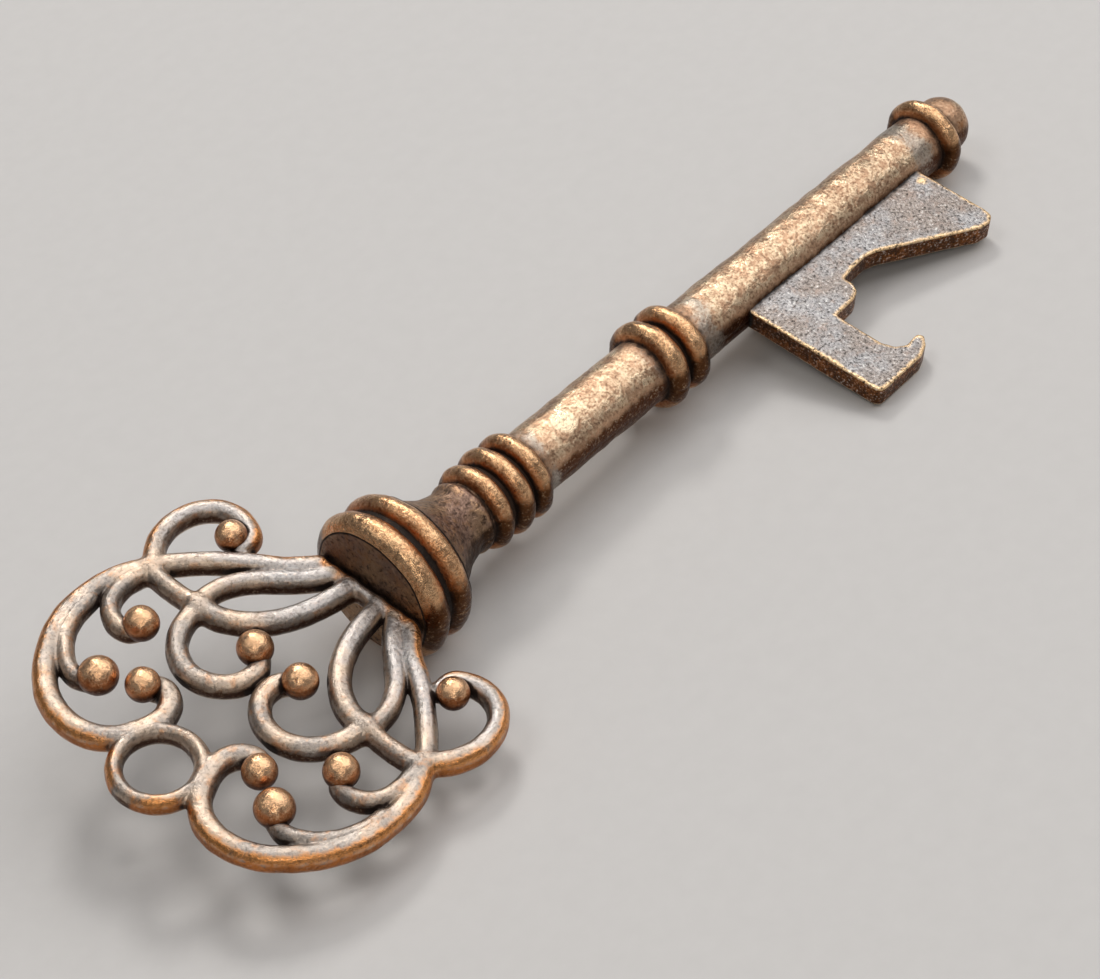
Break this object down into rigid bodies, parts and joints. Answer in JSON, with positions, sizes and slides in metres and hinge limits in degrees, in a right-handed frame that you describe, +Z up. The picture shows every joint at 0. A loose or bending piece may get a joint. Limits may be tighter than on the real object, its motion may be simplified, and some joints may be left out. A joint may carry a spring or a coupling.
{
  "type": "key bottle opener",
  "caption": "Ornamental skeleton key whose flat bit is a crown-cap bottle opener: pierced scroll bow with beads, hanging eye, flanged neck, collared round shank and ball tip.",
  "frame": {"origin": "centre of the underside of the bounding box, on the surface the key rests on", "axes": "+X from the bow to the tip along the key, +Z up, square to the surface the key rests on"},
  "size_m": [0.083, 0.0268, 0.0105],
  "materials": {
    "bow_patina": "antique copper with greyish pink worn faces, coppery edges and dark brown recesses",
    "bead_copper": "rubbed golden copper domes over dark brown sides",
    "collar_copper": "rubbed golden copper crests over dark brown grooves",
    "shank_copper": "brown copper with cast grain and grey patina",
    "bit_patina": "dark grey mottled patina with bright worn edges"
  },
  "bodies": {
    "root": {"hanging_eye": "bow_patina", "root_bar": "bow_patina", "left_end_bead": "bead_copper", "left_branch_bead": "bead_copper", "left_curl_bead": "bead_copper", "left_ear_bead": "bead_copper", "left_inner_bead": "bead_copper", "left_c_scroll": "bow_patina", "left_outer_strap": "bow_patina", "left_ear": "bow_patina", "left_scroll_branch": "bow_patina", "left_branch_curl": "bow_patina", "left_post": "bow_patina", "left_lens_outer_strip": "bow_patina", "left_lens_inner_strip": "bow_patina", "left_inner_scroll": "bow_patina", "right_end_bead": "bead_copper", "right_branch_bead": "bead_copper", "right_curl_bead": "bead_copper", "right_ear_bead": "bead_copper", "right_inner_bead": "bead_copper", "right_c_scroll": "bow_patina", "right_outer_strap": "bow_patina", "right_ear": "bow_patina", "right_scroll_branch": "bow_patina", "right_branch_curl": "bow_patina", "right_post": "bow_patina", "right_lens_outer_strip": "bow_patina", "right_lens_inner_strip": "bow_patina", "right_inner_scroll": "bow_patina", "flange_disc": "shank_copper", "neck": "shank_copper", "shank": "shank_copper", "flange_ring_rear": "collar_copper", "flange_ring_front": "collar_copper", "collar_rear": "collar_copper", "collar_middle": "collar_copper", "collar_front": "collar_copper", "mid_collar_rear": "collar_copper", "mid_collar_front": "collar_copper", "tip_ring": "collar_copper", "finial": "shank_copper", "bit": "bit_patina"}
  },
  "joints": []
}
